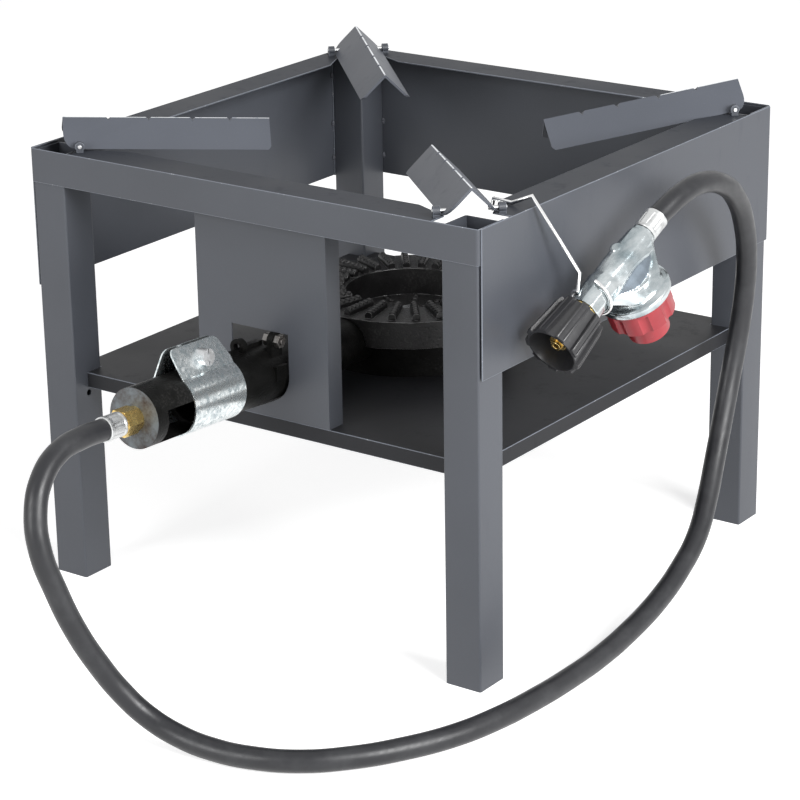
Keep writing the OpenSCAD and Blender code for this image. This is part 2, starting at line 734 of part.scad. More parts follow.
module coupling_nut() {
    bore = nut_back_d / 2 - 3.5;
    color("#26262a") on_regulator() difference() {
        union() {
            along_y(0, nut_len, nut_d / 2 - 2, nut_back_d / 2 - 2);
            for (i = [0:nut_wings - 1]) rotate([0, 360 * i / nut_wings, 0])
                intersection() {
                    translate([-3.5, 0, 0]) cube([7, nut_len, nut_d / 2 + 2]);
                    along_y(0, nut_len, nut_d / 2, nut_back_d / 2);
                }
        }
        along_y(-1, 14, nut_d / 2 - 3.1, bore);
        along_y(13.99, nut_len - 6, bore, bore);
        along_y(nut_len - 7, nut_len + 1, shank_r + 0.06, shank_r + 0.06);
    }
}
module inlet_nipple() {
    color("goldenrod") on_regulator() difference() {
        union() {
            along_y(tip_y, pin_start, 4, 4);
            along_y(pin_start, pin_end, nipple_d / 2, nipple_d / 2);
            along_y(pin_end, nut_len + 1, shank_r, shank_r);
            along_y(nut_len - 8, nut_len - 6 - gap, 10, 10);
            along_y(nut_len + gap, reg_body_y, collar_d / 2, collar_d / 2);
            along_y(reg_body_y - 1, reg_body_y + 12, 5.2, 5.2);
        }
        along_y(tip_y - 1, reg_body_y + 13, 2, 2);
    }
}
// Wire: a hook over the right skirt's flange, a straight run and a ring round the regulator's neck
module hanging_wire() {
    ring_r = reg_neck_r + wire_d / 2 + 0.1;
    ring_y = reg_body_y + 6;
    ring_lean = 12;
    over = stove_h + wire_d / 2;
    top = reg_point([-ring_r * cos(75), ring_y, ring_r * sin(75)]);
    hook = [[half_w - flange_w - 6, -135, over - 9], [half_w - flange_w - 2, -138, over + 0.2],
        [half_w - 15, -141, over + 0.3], [half_w + 2, -142, over + 8],
        [half_w + 19, -107, stove_h - 52], top];
    ring = [for (a = [75:-15:-255]) reg_point([-ring_r * cos(a),
        ring_y + ring_lean * (75 - a) / 330, ring_r * sin(a)])];
    color("whitesmoke") placed() sweep(concat(hook, [for (i = [1:len(ring) - 1]) ring[i]]),
        wire_d, wire_sides, unit(hook[1] - hook[0]), unit(ring[len(ring) - 1] - ring[len(ring) - 2]));
}

leg_front_left();
leg_front_right();
leg_back_left();
leg_back_right();
front_rail();
back_skirt();
left_skirt();
right_skirt();
tack_welds();
shelf();
front_shield();
burner_body();
burner_head();
burner_bolt();
burner_nut();
lug_bolt();
lug_nut();
air_shutter();
shutter_screw();
shutter_nut();
orifice_fitting();
support_left();
support_front();
support_back();
support_right();
hinge_pins();
hinge_lugs();
burner_ferrule();
hose();
regulator_ferrule();
regulator_body();
knob();
coupling_nut();
inlet_nipple();
hanging_wire();
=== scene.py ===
# %% [markdown]
# # An outdoor gas burner, dressed for its portrait
# The measured model comes in first and stays as it is: every sheet, casting and screw already has
# its true size and place. This lesson gives each piece the finish of the real one, and swaps a
# plain solid for a fuller shape where the real piece has soft edges, crimps or fine ribs.

# %% Load the measured model
import json
import math

import bmesh
import bpy
from mathutils import Matrix, Vector


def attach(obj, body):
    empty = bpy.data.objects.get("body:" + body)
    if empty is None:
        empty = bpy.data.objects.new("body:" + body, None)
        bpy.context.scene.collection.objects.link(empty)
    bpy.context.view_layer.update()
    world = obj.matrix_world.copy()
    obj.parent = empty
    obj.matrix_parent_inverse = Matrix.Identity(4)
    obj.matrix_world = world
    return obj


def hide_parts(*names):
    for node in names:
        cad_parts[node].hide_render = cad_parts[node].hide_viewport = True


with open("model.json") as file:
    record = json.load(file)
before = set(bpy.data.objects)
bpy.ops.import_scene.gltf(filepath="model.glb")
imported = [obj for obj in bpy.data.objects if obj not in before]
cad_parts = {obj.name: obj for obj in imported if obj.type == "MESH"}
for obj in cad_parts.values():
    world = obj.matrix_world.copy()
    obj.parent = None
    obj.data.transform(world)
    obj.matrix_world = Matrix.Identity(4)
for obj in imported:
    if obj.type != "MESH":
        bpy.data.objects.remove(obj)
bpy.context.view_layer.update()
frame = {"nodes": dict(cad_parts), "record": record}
bodies = frame["record"]["behaviour"]["bodies"]
node_body = {node: body for body, members in bodies.items() for node in members}
print("pieces in the measured model:", len(frame["nodes"]))

# %% [markdown]
# ## Places
# The stove was drawn in millimetres round its own centre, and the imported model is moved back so
# that the whole outline is centred. Three small frames make later cells easy to read: one for the
# stove, one that runs out along the mixing tube, and one that runs along the regulator.

# %% Frames to build in
MM = 0.001
Y_SHIFT = 71.0355
TUBE_Z, TUBE_RISE = 189.0, 3.0
NUT_FACE = (230.0, -156.0, 248.0)
REG_PITCH, REG_YAW = 30.3, -6.1

to_metres = Matrix.Scale(MM, 4)
stove = to_metres @ Matrix.Translation((0, Y_SHIFT, 0))
along_tube = (stove @ Matrix.Translation((0, 0, TUBE_Z))
              @ Matrix.Rotation(math.radians(90 - TUBE_RISE), 4, "X"))
along_regulator = (stove @ Matrix.Translation(NUT_FACE) @ Matrix.Rotation(math.radians(REG_YAW), 4, "Z")
                   @ Matrix.Rotation(math.radians(REG_PITCH), 4, "X"))
print("tube starts at", tuple(round(v, 4) for v in along_tube @ Vector((0, 0, 0))))

# %% [markdown]
# ## Camera
# A product photograph is taken from far away with a long lens, so that upright lines stay nearly
# upright. The distance, height and slight roll were worked out from the stand's corners, whose
# real places are known.

# %% Place the camera
CAM_AZ, CAM_EL, CAM_ROLL = (math.radians(a) for a in (35.865, 19.863, -0.952))
CAM_DISTANCE, CAM_LENS = 2220.0, 126.35
CAM_AIM = (-11.53, 0, 117.85)
look = Vector((-math.sin(CAM_AZ) * math.cos(CAM_EL), math.cos(CAM_AZ) * math.cos(CAM_EL), -math.sin(CAM_EL)))
side = look.cross(Vector((0, 0, 1))).normalized()
up = side.cross(look)
right = side * math.cos(CAM_ROLL) + up * math.sin(CAM_ROLL)
upright = up * math.cos(CAM_ROLL) - side * math.sin(CAM_ROLL)
eye = stove @ (Vector(CAM_AIM) - look * CAM_DISTANCE)
camera_data = bpy.data.cameras.new("portrait_camera")
camera_data.lens = CAM_LENS
camera_data.sensor_width = 36
camera_data.clip_end = 50
camera = bpy.data.objects.new("portrait_camera", camera_data)
bpy.context.scene.collection.objects.link(camera)
camera.matrix_world = Matrix.Translation(eye) @ Matrix((right, upright, -look)).transposed().to_4x4()
bpy.context.scene.camera = camera
print("camera at", tuple(round(v, 3) for v in eye))

# %% [markdown]
# ## Hose
# The rubber hose is one smooth curve with a round section. A curve with automatic handles passes
# through every point of its route, leaves the brass fitting straight, hangs down to the ground,
# lies round the corner and climbs to the regulator behind the loop.

# %% Lay the hose along its route
HOSE_D = 16.0
GROUND = HOSE_D / 2 + 0.3
HOSE_START, HOSE_END = (0, 0, 362.0), (0, 137.0, 0)
hose_route = [
    (0, -382, 209), (0, -406, 206), (3, -427, 194), (8, -440, 175), (14, -444, 151),
    (20, -438, 122), (27, -429, 92), (35, -417, 64), (45, -406, 41), (60, -397, 23),
    (82, -391, 12), (108, -388, GROUND), (138, -383, GROUND), (168, -369, GROUND),
    (193, -346, GROUND), (215, -315, GROUND), (232, -280, GROUND), (242, -242, GROUND),
    (247, -202, GROUND), (249, -161, GROUND), (250, -120, 10), (251, -80, 16),
    (251, -42, 25), (249, -7, 37), (245, 25, 52), (238, 52, 72), (231, 75, 95),
    (226, 95, 122), (224, 109, 151), (225, 118, 183), (228, 120, 215), (233, 113, 247),
    (239, 97, 277), (245, 72, 305), (249, 43, 323), (249, 12, 331), (247, -13, 328)]
hose_line = [along_tube @ Vector(HOSE_START)] + [stove @ Vector(p) for p in hose_route]
hose_line.append(along_regulator @ Vector(HOSE_END))


def smooth_curve(name, points, diameter, steps=10, sides=7):
    """A round bar whose centre line passes smoothly through the points."""
    curve = bpy.data.curves.new(name, "CURVE")
    curve.dimensions = "3D"
    curve.bevel_depth = diameter / 2
    curve.bevel_resolution = sides
    curve.resolution_u = curve.render_resolution_u = steps
    curve.use_fill_caps = True
    spline = curve.splines.new("BEZIER")
    spline.bezier_points.add(len(points) - 1)
    for knot, point in zip(spline.bezier_points, points):
        knot.co = point
        knot.handle_left_type = knot.handle_right_type = "AUTO"
    piece = bpy.data.objects.new(name, curve)
    bpy.context.scene.collection.objects.link(piece)
    return piece


rubber_hose = smooth_curve("rubber_hose", hose_line, HOSE_D * MM)

# %% [markdown]
# ## Making materials from nodes
# Each finish is a small tree of nodes. A helper keeps the trees short: it adds a node, sets its
# plain numbers and links the rest. Patterns read Object coordinates, which are metres here because
# every piece sits at the origin, so a scale of 400 gives a grain of about two and a half
# millimetres.

# %% Helpers for node trees
def fill_socket(tree, socket, value):
    """Links a socket's value, or sets it where it is a plain number, colour or material."""
    if isinstance(value, bpy.types.NodeSocket):
        tree.links.new(value, socket)
    else:
        socket.default_value = value


def add_node(tree, kind, settings=None, **inputs):
    """A node with its settings and inputs; i0, i1 and so on name an input by its number."""
    node = tree.nodes.new(kind)
    for key, value in (settings or {}).items():
        setattr(node, key, value)
    for key, value in inputs.items():
        by_number = key[0] == "i" and key[1:].isdigit()
        socket = node.inputs[int(key[1:])] if by_number else node.inputs[key.replace("_", " ")]
        fill_socket(tree, socket, value)
    return node


class Finish:
    """A material under construction."""

    def __init__(self, name, colour, roughness, metallic=0.0, **shader):
        self.material = bpy.data.materials.new(name)
        self.material.use_nodes = True
        self.tree = self.material.node_tree
        self.shader = self.tree.nodes["Principled BSDF"]
        self.shader.inputs["Base Color"].default_value = (*colour, 1)
        self.shader.inputs["Roughness"].default_value = roughness
        self.shader.inputs["Metallic"].default_value = metallic
        for socket, value in shader.items():
            self.shader.inputs[socket.replace("_", " ")].default_value = value
        self.place = self.add("ShaderNodeTexCoord").outputs["Object"]

    def add(self, kind, settings=None, **inputs):
        return add_node(self.tree, kind, settings, **inputs)

    def noise(self, scale, detail=3.0, rough=0.55, place=None):
        node = self.add("ShaderNodeTexNoise", Scale=scale, Detail=detail, Roughness=rough,
                        Vector=place or self.place)
        return node.outputs["Fac"]

    def cells(self, scale, out="Distance", feature="F1", place=None):
        node = self.add("ShaderNodeTexVoronoi", {"feature": feature}, Scale=scale, Vector=place or self.place)
        return node.outputs[out]

    def stretch(self, scale=(1, 1, 1), turn=(0, 0, 0)):
        node = self.add("ShaderNodeMapping", Vector=self.place)
        node.inputs["Scale"].default_value = scale
        node.inputs["Rotation"].default_value = turn
        return node.outputs["Vector"]

    def spread(self, value, low, high, to_low=0.0, to_high=1.0):
        node = self.add("ShaderNodeMapRange", i0=value, i1=low, i2=high, i3=to_low, i4=to_high)
        return node.outputs[0]

    def maths(self, operation, a, b):
        return self.add("ShaderNodeMath", {"operation": operation}, i0=a, i1=b).outputs[0]

    def blend(self, amount, a, b):
        node = self.add("ShaderNodeMix", {"data_type": "RGBA"}, Factor=amount)
        for socket, value in ((node.inputs[6], a), (node.inputs[7], b)):
            linked = isinstance(value, bpy.types.NodeSocket)
            fill_socket(self.tree, socket, value if linked else (*value, 1))
        return node.outputs[2]

    def paint(self, colour=None, roughness=None, metallic=None):
        for socket, value in (("Base Color", colour), ("Roughness", roughness), ("Metallic", metallic)):
            if value is not None:
                self.tree.links.new(value, self.shader.inputs[socket])
        return self

    def bump(self, height, depth_mm, strength=1.0):
        node = self.add("ShaderNodeBump", Strength=strength, Distance=depth_mm * MM, Height=height)
        self.tree.links.new(node.outputs["Normal"], self.shader.inputs["Normal"])
        return self

# %% [markdown]
# ## Finishes of the stand and the burner
# Baked-on satin paint has a faint orange-peel surface and is a little thin and paler on bends and
# cut edges. Cast iron is nearly black, gritty and uneven. Both are grey, so most of what the eye
# reads is roughness and bump, and the colour only drifts slightly.

# %% Satin paint, worn edges and cast iron
def satin_paint(name, colour, roughness, drift, gloss=0.45):
    """Grey paint with orange peel, cloudy drift and small dull scuffs."""
    f = Finish(name, colour, roughness, Specular_IOR_Level=gloss)
    cloud = f.noise(9, 4)
    fleck = f.noise(900, 2)
    scuff = f.spread(f.noise(60, 6, 0.7, f.stretch((1, 1, 0.35))), 0.56, 0.72)
    light = tuple(c * (1 + drift) for c in colour)
    dark = tuple(c * (1 - drift) for c in colour)
    tone = f.blend(f.spread(cloud, 0.35, 0.65), dark, light)
    tone = f.blend(f.spread(fleck, 0.6, 0.75, 0, 0.25), tone, tuple(c * 1.5 for c in colour))
    rough = f.maths("ADD", f.spread(cloud, 0.3, 0.7, roughness - 0.05, roughness + 0.06),
                    f.maths("MULTIPLY", scuff, 0.1))
    peel = f.maths("ADD", f.noise(420, 2), f.maths("MULTIPLY", f.noise(70, 2), 0.6))
    return f.paint(tone, rough).bump(peel, 0.05, 0.5).material


def worn_metal(name, paint_colour, metal_colour, share):
    """An edge where thin paint lets the metal through in places."""
    f = Finish(name, metal_colour, 0.35)
    patch = f.spread(f.maths("ADD", f.noise(110, 6, 0.7), f.maths("MULTIPLY", f.noise(1400, 2), 0.25)),
                     0.80 - share * 0.4, 0.86 - share * 0.4)
    tone = f.blend(patch, paint_colour, metal_colour)
    rough = f.spread(f.noise(600, 3), 0.3, 0.7, 0.28, 0.5)
    return f.paint(tone, rough, patch).bump(f.noise(700, 3), 0.03, 0.5).material


def cast_iron(name, colour, grit, gloss, rubbed):
    """Sand-cast iron: fine grit, shallow pits and paler rubbed high spots."""
    f = Finish(name, colour, 0.55, Specular_IOR_Level=gloss)
    grain = f.noise(650, 5, 0.65)
    pits = f.spread(f.cells(240), 0.0, 0.35)
    cloud = f.noise(28, 5, 0.6)
    tone = f.blend(f.spread(cloud, 0.42, 0.7), colour, tuple(c * 2.1 for c in colour))
    high_spot = (rubbed, rubbed * 0.97, rubbed * 0.95)
    tone = f.blend(f.spread(f.maths("MULTIPLY", grain, cloud), 0.30, 0.42), tone, high_spot)
    rough = f.spread(f.maths("ADD", grain, cloud), 0.8, 1.3, 0.3, 0.6)
    height = f.maths("ADD", f.maths("MULTIPLY", grain, 0.7), f.maths("MULTIPLY", pits, 0.5))
    return f.paint(tone, rough).bump(height, grit, 0.9).material


STAND_GREY = (0.060, 0.065, 0.077)
stand_paint = satin_paint("stand_satin_paint", STAND_GREY, 0.4, 0.06)
# Darker paint for the level top faces, which is painted shade.
top_paint = satin_paint("painted_shade_top_paint", (0.027, 0.030, 0.038), 0.5, 0.08, 0.15)
# Near-black paint for the shelf, which is painted shade inside the stand.
shelf_shade_paint = satin_paint("painted_shade_on_shelf", (0.017, 0.0175, 0.020), 0.5, 0.08, 0.2)
stand_edge = worn_metal("stand_thin_paint_edge", (0.15, 0.165, 0.195), (0.5, 0.52, 0.55), 0.15)
support_paint = satin_paint("support_satin_paint", (0.078, 0.085, 0.102), 0.46, 0.05, 0.35)
# Ridge finish: bare metal patches where pots rub, and pale grey paint between them as a painted highlight.
ridge_wear_and_highlight = worn_metal("support_ridge_metal", (0.42, 0.45, 0.5), (0.8, 0.82, 0.84), 0.75)
burner_iron = cast_iron("burner_cast_iron", (0.0075, 0.0072, 0.0075), 0.4, 0.5, 0.04)
rubbed_edge = worn_metal("burner_rubbed_edge", (0.02, 0.02, 0.021), (0.34, 0.34, 0.34), 0.55)
tube_iron = cast_iron("mixing_tube_cast_iron", (0.004, 0.004, 0.0038), 0.4, 0.09, 0.03)


def stained_face(name):
    """The machined end of the mixing tube: blue-grey, with patches of rust."""
    f = Finish(name, (0.11, 0.125, 0.14), 0.42, 0.3)
    stain = f.maths("ADD", f.noise(75, 5, 0.65), f.maths("MULTIPLY", f.noise(420, 3), 0.25))
    tone = f.blend(f.spread(stain, 0.5, 0.8), (0.13, 0.15, 0.165), (0.035, 0.02, 0.014))
    return f.paint(tone, f.spread(stain, 0.4, 0.8, 0.34, 0.6)).bump(stain, 0.05, 0.5).material


end_face = stained_face("tube_end_stained_face")
print("finishes so far:", len(bpy.data.materials))

# %% [markdown]
# ## Finishes of the fittings
# Galvanised sheet freezes into flat crystals, the spangle, each a slightly different grey. Voronoi
# cells give each crystal its own tone. Brass, die-cast zinc and bright wire are smoother, with
# handling marks that run along the piece.

# %% Galvanised sheet, brass, die-cast and wire
def galvanised(name):
    """Zinc with crystal patches and cloudy grey bloom."""
    f = Finish(name, (0.55, 0.61, 0.62), 0.3, 0.9)
    warp = f.add("ShaderNodeVectorMath", {"operation": "MULTIPLY_ADD"}, i0=f.add(
        "ShaderNodeTexNoise", Scale=320.0, Detail=3.0, Vector=f.place).outputs["Color"],
        i1=(0.003, 0.003, 0.003), i2=f.place).outputs["Vector"]
    crystal = f.add("ShaderNodeTexVoronoi", Scale=430.0, Vector=warp)
    tone_at = f.add("ShaderNodeSeparateColor", Color=crystal.outputs["Color"]).outputs["Red"]
    bloom = f.noise(170, 6, 0.7)
    patch = f.maths("ADD", f.maths("MULTIPLY", tone_at, 0.35), f.maths("MULTIPLY", bloom, 0.9))
    tone = f.blend(f.spread(patch, 0.42, 0.82), (0.44, 0.50, 0.52), (0.86, 0.90, 0.90))
    rough = f.spread(patch, 0.4, 0.85, 0.34, 0.2)
    return f.paint(tone, rough).bump(f.noise(70, 2), 0.06, 0.2).material


def drawn_metal(name, colour, roughness, stain, grain=(1, 1, 1), metallic=1.0, marks=0.5):
    """Plain metal with fine marks and a few darker stains."""
    f = Finish(name, colour, roughness, metallic)
    marks_at = f.noise(900, 4, 0.6, f.stretch(grain))
    cloud = f.noise(60, 5, 0.65)
    tone = f.blend(f.spread(cloud, 0.5, 0.72), colour, stain)
    tone = f.blend(f.spread(marks_at, 0.55, 0.8, 0, marks), tone, tuple(c * 0.45 for c in colour))
    rough = f.spread(f.maths("ADD", marks_at, cloud), 0.7, 1.3, roughness * 0.7, roughness * 1.6)
    return f.paint(tone, rough).bump(marks_at, 0.01, 0.15).material


shutter_zinc = galvanised("shutter_galvanised_sheet")
fitting_brass = drawn_metal("fitting_brass", (0.84, 0.62, 0.24), 0.22, (0.66, 0.45, 0.15), marks=0.15)
bolt_steel = drawn_metal("bolt_steel", (0.62, 0.63, 0.64), 0.28, (0.34, 0.33, 0.32))
dark_bolt_steel = drawn_metal("oiled_bolt_steel", (0.16, 0.155, 0.15), 0.4, (0.07, 0.06, 0.055))
ferrule_steel = drawn_metal("ferrule_crimped_steel", (0.66, 0.67, 0.67), 0.3, (0.36, 0.36, 0.36))
wire_metal = drawn_metal("bright_hanging_wire", (0.86, 0.86, 0.86), 0.14, (0.6, 0.6, 0.6), marks=0.2)
weld_metal = drawn_metal("painted_weld_bead", (0.07, 0.075, 0.09), 0.4, (0.04, 0.04, 0.045), metallic=0.2)


def polished_die_cast(name):
    """Tumbled die-cast zinc: soft smeared tones and a faint hammered surface."""
    f = Finish(name, (0.72, 0.76, 0.77), 0.2, 1.0)
    smear = f.noise(45, 5, 0.6, f.stretch((1, 0.35, 1)))
    fine = f.noise(300, 4, 0.6)
    tone = f.blend(f.spread(smear, 0.36, 0.62), (0.26, 0.31, 0.33), (0.66, 0.70, 0.71))
    rough = f.spread(f.maths("ADD", smear, fine), 0.7, 1.25, 0.3, 0.14)
    hammered = f.maths("ADD", smear, f.maths("MULTIPLY", fine, 0.5))
    return f.paint(tone, rough).bump(hammered, 0.12, 0.45).material


regulator_zinc = polished_die_cast("regulator_polished_die_cast")
recess_zinc = drawn_metal("regulator_recess_grey", (0.15, 0.18, 0.21), 0.42, (0.13, 0.15, 0.17), metallic=0.7)
print("finishes so far:", len(bpy.data.materials))

# %% [markdown]
# ## Plastic and rubber
# Moulded plastic is one colour all through, so its life comes from a satin surface, a slight haze
# and tiny scuffs. Rubber hose has a soft sheen and fine streaks left along it by the extruder.

# %% Red knob, black nut and hose rubber
def moulded(name, colour, roughness, scuffed, subsurface=0.0):
    """Satin moulded plastic with haze and scuffs."""
    f = Finish(name, colour, roughness, Coat_Weight=0.15, Coat_Roughness=0.25)
    if subsurface:
        f.shader.inputs["Subsurface Weight"].default_value = subsurface
        f.shader.inputs["Subsurface Scale"].default_value = 0.004
    haze = f.noise(70, 4)
    scuff = f.spread(f.noise(420, 5, 0.7), 0.58, 0.75)
    darker = tuple(c * 0.88 for c in colour)
    lighter = tuple(min(1, c * 1.12) for c in colour)
    tone = f.blend(f.spread(haze, 0.35, 0.7), darker, lighter)
    tone = f.blend(f.maths("MULTIPLY", scuff, 0.3), tone, scuffed)
    rough = f.spread(f.maths("ADD", haze, scuff), 0.4, 1.5, roughness - 0.06, roughness + 0.16)
    return f.paint(tone, rough).bump(f.noise(1100, 2), 0.02, 0.4).material


def hose_rubber(name):
    """Black rubber with fine streaks and a dusty bloom."""
    f = Finish(name, (0.016, 0.0165, 0.019), 0.38, Specular_IOR_Level=0.45,
               Sheen_Weight=0.03, Sheen_Roughness=0.4)
    dust = f.noise(38, 5, 0.65)
    streak = f.noise(500, 3, 0.5, f.stretch((1, 0.2, 0.2)))
    tone = f.blend(f.spread(dust, 0.45, 0.75), (0.013, 0.0135, 0.016), (0.030, 0.031, 0.034))
    rough = f.spread(f.maths("ADD", dust, streak), 0.7, 1.3, 0.3, 0.5)
    return f.paint(tone, rough).bump(f.maths("ADD", streak, dust), 0.05, 0.4).material


knob_red = moulded("knob_red_plastic", (0.30, 0.018, 0.027), 0.36, (0.42, 0.14, 0.14), 0.04)
nut_black = moulded("nut_black_plastic", (0.022, 0.022, 0.024), 0.36, (0.09, 0.09, 0.095))
rubber_finish = hose_rubber("hose_black_rubber")
print("finishes:", len(bpy.data.materials))

# %% [markdown]
# ## Soft edges on the measured plates
# A sheet or casting never has a perfectly sharp edge, and it is the narrow light line along each
# edge that makes steel look like steel. A copy of the measured mesh is merged and its flat faces
# joined, then a Bevel modifier rounds every edge and gives the new strips a second material.

# %% Dress a measured piece
def link(piece, body, slot, *nodes):
    """Puts a new piece in the scene, on its body, in place of the measured nodes."""
    if piece.name not in bpy.context.scene.collection.objects:
        bpy.context.scene.collection.objects.link(piece)
    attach(piece, body)
    if nodes:
        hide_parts(*nodes)
    return piece


def merged_copy(node):
    """The node's triangles as one joined bmesh with flat faces as single polygons."""
    mesh = frame["nodes"][node].data.copy()
    for layer in [a.name for a in mesh.attributes if a.name in ("custom_normal", "sharp_face", "sharp_edge")]:
        mesh.attributes.remove(mesh.attributes[layer])
    bm = bmesh.new()
    bm.from_mesh(mesh)
    bpy.data.meshes.remove(mesh)
    bmesh.ops.remove_doubles(bm, verts=bm.verts, dist=0.00002)
    bmesh.ops.dissolve_limit(bm, angle_limit=math.radians(0.6), verts=bm.verts, edges=bm.edges)
    for face in bm.faces:
        face.smooth = True
        face.material_index = 0
    return bm


def soften(piece, width, angle=35, segments=2, edge_material=0):
    """A Bevel modifier that rounds edges by angle and hardens the normals."""
    bevel = piece.modifiers.new("soft_edges", "BEVEL")
    bevel.width = width * MM
    bevel.segments = segments
    bevel.limit_method = "ANGLE"
    bevel.angle_limit = math.radians(angle)
    bevel.material = edge_material
    bevel.harden_normals = True
    return piece


def dressed(node, name, slot, paint, edge=None, width=0.5, angle=35, segments=2, shape=None, third=None):
    """A softened copy of a measured node in its finish; shape may mark faces for the third finish."""
    bm = merged_copy(node)
    if shape:
        shape(bm)
    mesh = bpy.data.meshes.new(name)
    bm.to_mesh(mesh)
    bm.free()
    mesh.materials.append(paint)
    mesh.materials.append(edge or paint)
    if third:
        mesh.materials.append(third)
    piece = bpy.data.objects.new(name, mesh)
    link(piece, node_body[node], slot, node)
    return soften(piece, width, angle, segments, 1)

# %% [markdown]
# ## The stand
# The stand is folded sheet on square tube, so its measured copies only need small round edges.
# Legs, rail, skirts and shield wear the same paint, in which Object coordinates keep the drift of
# tone different from plate to plate. The shelf and the level top faces have darker paints, which
# are painted shade.

# %% Legs, rails, skirts, shelf and shield
for side_name in ("front_left", "front_right", "back_left", "back_right"):
    dressed("leg_" + side_name, side_name + "_square_leg", "painted_steel", stand_paint, stand_edge, 0.35)


def level_tops(bm):
    """Marks the level upper faces for the darker top paint, which is painted shade."""
    bm.normal_update()
    for face in bm.faces:
        face.material_index = 2 if face.normal.z > 0.9 else 0


for node, name in (("front_rail", "front_top_rail"), ("back_skirt", "back_folded_skirt"),
                   ("left_skirt", "left_folded_skirt"), ("right_skirt", "right_folded_skirt")):
    dressed(node, name, "painted_steel", stand_paint, stand_edge, 0.5, shape=level_tops, third=top_paint)
dressed("front_shield", "front_wind_shield", "painted_steel", stand_paint, stand_edge, 0.5)
# The shelf wears the near-black paint that stands for shade inside the stand.
dressed("shelf", "burner_shelf_pan", "painted_steel", shelf_shade_paint, stand_edge, 0.5)

# %% [markdown]
# ## Pot supports
# Each support is a strip bent to a right angle, and pots rub its ridge bare. The ridge edges are
# found by their place, top and sharp, and rounded first with a finish of bare metal patches on
# pale grey paint, which is a painted highlight along the ridge. The other edges get the same
# narrow bevel as the stand.

# %% Four ridged pot supports
HINGE_R, HINGE_Z = 250.085, 346.5


def corner_frame(turn):
    """The frame of one open corner: -Y points to the stove's centre, the hinge is at the origin."""
    return stove @ Matrix.Rotation(math.radians(turn), 4, "Z") @ Matrix.Translation((0, HINGE_R, HINGE_Z))


def bare_ridge(turn):
    """Rounds the sharp edges on top of one support and marks the new strips for the ridge finish: bare metal
    patches, with pale paint as a painted highlight.
    """
    to_corner = corner_frame(turn).inverted()

    def shape(bm):
        ridge = []
        for edge in bm.edges:
            a, b = (to_corner @ v.co for v in edge.verts)
            on_top = abs(a.x) < 0.3 and abs(b.x) < 0.3 and min(a.z, b.z) > 8
            if on_top and abs(a.y - b.y) > 2 and edge.is_manifold and edge.calc_face_angle(0) > 1:
                ridge.append(edge)
        result = bmesh.ops.bevel(bm, geom=ridge, offset=0.9 * MM, segments=3, profile=0.5,
                                 affect="EDGES", clamp_overlap=True)
        for face in result["faces"]:
            face.material_index = 2
            face.smooth = True
    return shape


for node, turn in (("support_left", 135), ("support_front", -135),
                   ("support_back", 45), ("support_right", -45)):
    dressed(node, "ridged_" + node, "painted_steel", support_paint, stand_edge, 0.3,
            shape=bare_ridge(turn), third=ridge_wear_and_highlight)
dressed("hinge_pins", "hinge_short_pins", "bare_steel", bolt_steel, width=0.3)
dressed("hinge_lugs", "hinge_ring_lugs", "painted_steel", stand_paint, stand_edge, 0.25)

# %% [markdown]
# ## Copies made by Geometry Nodes
# Welds, crimps, ribs and port rims all repeat. A node tree places one small shape again and again,
# so a change to one number changes them all. This first tree turns copies of whatever it is given
# round the Z axis. It ends in Realize Instances, because an export would drop mere instances.

# %% A small builder for node trees, and the tree for rings
class Growth:
    """A Geometry Nodes tree under construction."""

    def __init__(self, name):
        self.tree = bpy.data.node_groups.new(name, "GeometryNodeTree")
        self.tree.interface.new_socket("Geometry", in_out="INPUT", socket_type="NodeSocketGeometry")
        self.tree.interface.new_socket("Geometry", in_out="OUTPUT", socket_type="NodeSocketGeometry")
        self.given = self.tree.nodes.new("NodeGroupInput")
        self.result = self.tree.nodes.new("NodeGroupOutput")

    def size(self, name, value, kind="Float"):
        socket = self.tree.interface.new_socket(name, in_out="INPUT", socket_type="NodeSocket" + kind)
        socket.default_value = value
        return self.given.outputs[name]

    def add(self, kind, settings=None, **inputs):
        return add_node(self.tree, kind, settings, **inputs)

    def maths(self, operation, a, b=0.0):
        return self.add("ShaderNodeMath", {"operation": operation}, i0=a, i1=b).outputs[0]

    def end(self, geometry):
        material = self.size_material()
        real = self.add("GeometryNodeRealizeInstances", Geometry=geometry)
        made = self.add("GeometryNodeSetMaterial", Geometry=real.outputs[0], Material=material)
        self.tree.links.new(made.outputs[0], self.result.inputs[0])
        return self.tree

    def size_material(self):
        self.tree.interface.new_socket("Finish", in_out="INPUT", socket_type="NodeSocketMaterial")
        return self.given.outputs["Finish"]


def grow(name, tree, start, place, **sizes):
    """Runs a tree on a start mesh and returns a plain mesh object in its place."""
    carrier = bpy.data.objects.new(name + "_carrier", start)
    bpy.context.scene.collection.objects.link(carrier)
    modifier = carrier.modifiers.new("growth", "NODES")
    sockets = {s.name: s.identifier for s in tree.interface.items_tree if s.in_out == "INPUT"}
    modifier.node_group = tree
    for key, value in sizes.items():
        modifier[sockets[key.replace("_", " ")]] = value
    bpy.context.view_layer.update()
    graph = bpy.context.evaluated_depsgraph_get()
    mesh = bpy.data.meshes.new_from_object(carrier.evaluated_get(graph))
    mesh.transform(place)
    mesh.name = name
    bpy.data.objects.remove(carrier)
    return bpy.data.objects.new(name, mesh)


ring = Growth("turned_ring_of_copies")
count = ring.size("Count", 12, "Int")
points = ring.add("GeometryNodePoints", Count=count)
step = ring.maths("DIVIDE", math.tau, count)
index = ring.add("GeometryNodeInputIndex").outputs[0]
turn = ring.add("ShaderNodeCombineXYZ", Z=ring.maths("MULTIPLY", index, step))
copies = ring.add("GeometryNodeInstanceOnPoints", Points=points.outputs[0],
                  Instance=ring.given.outputs["Geometry"], Rotation=turn.outputs[0])
ring_tree = ring.end(copies.outputs[0])
print("tree:", ring_tree.name, "with", len(ring_tree.nodes), "nodes")

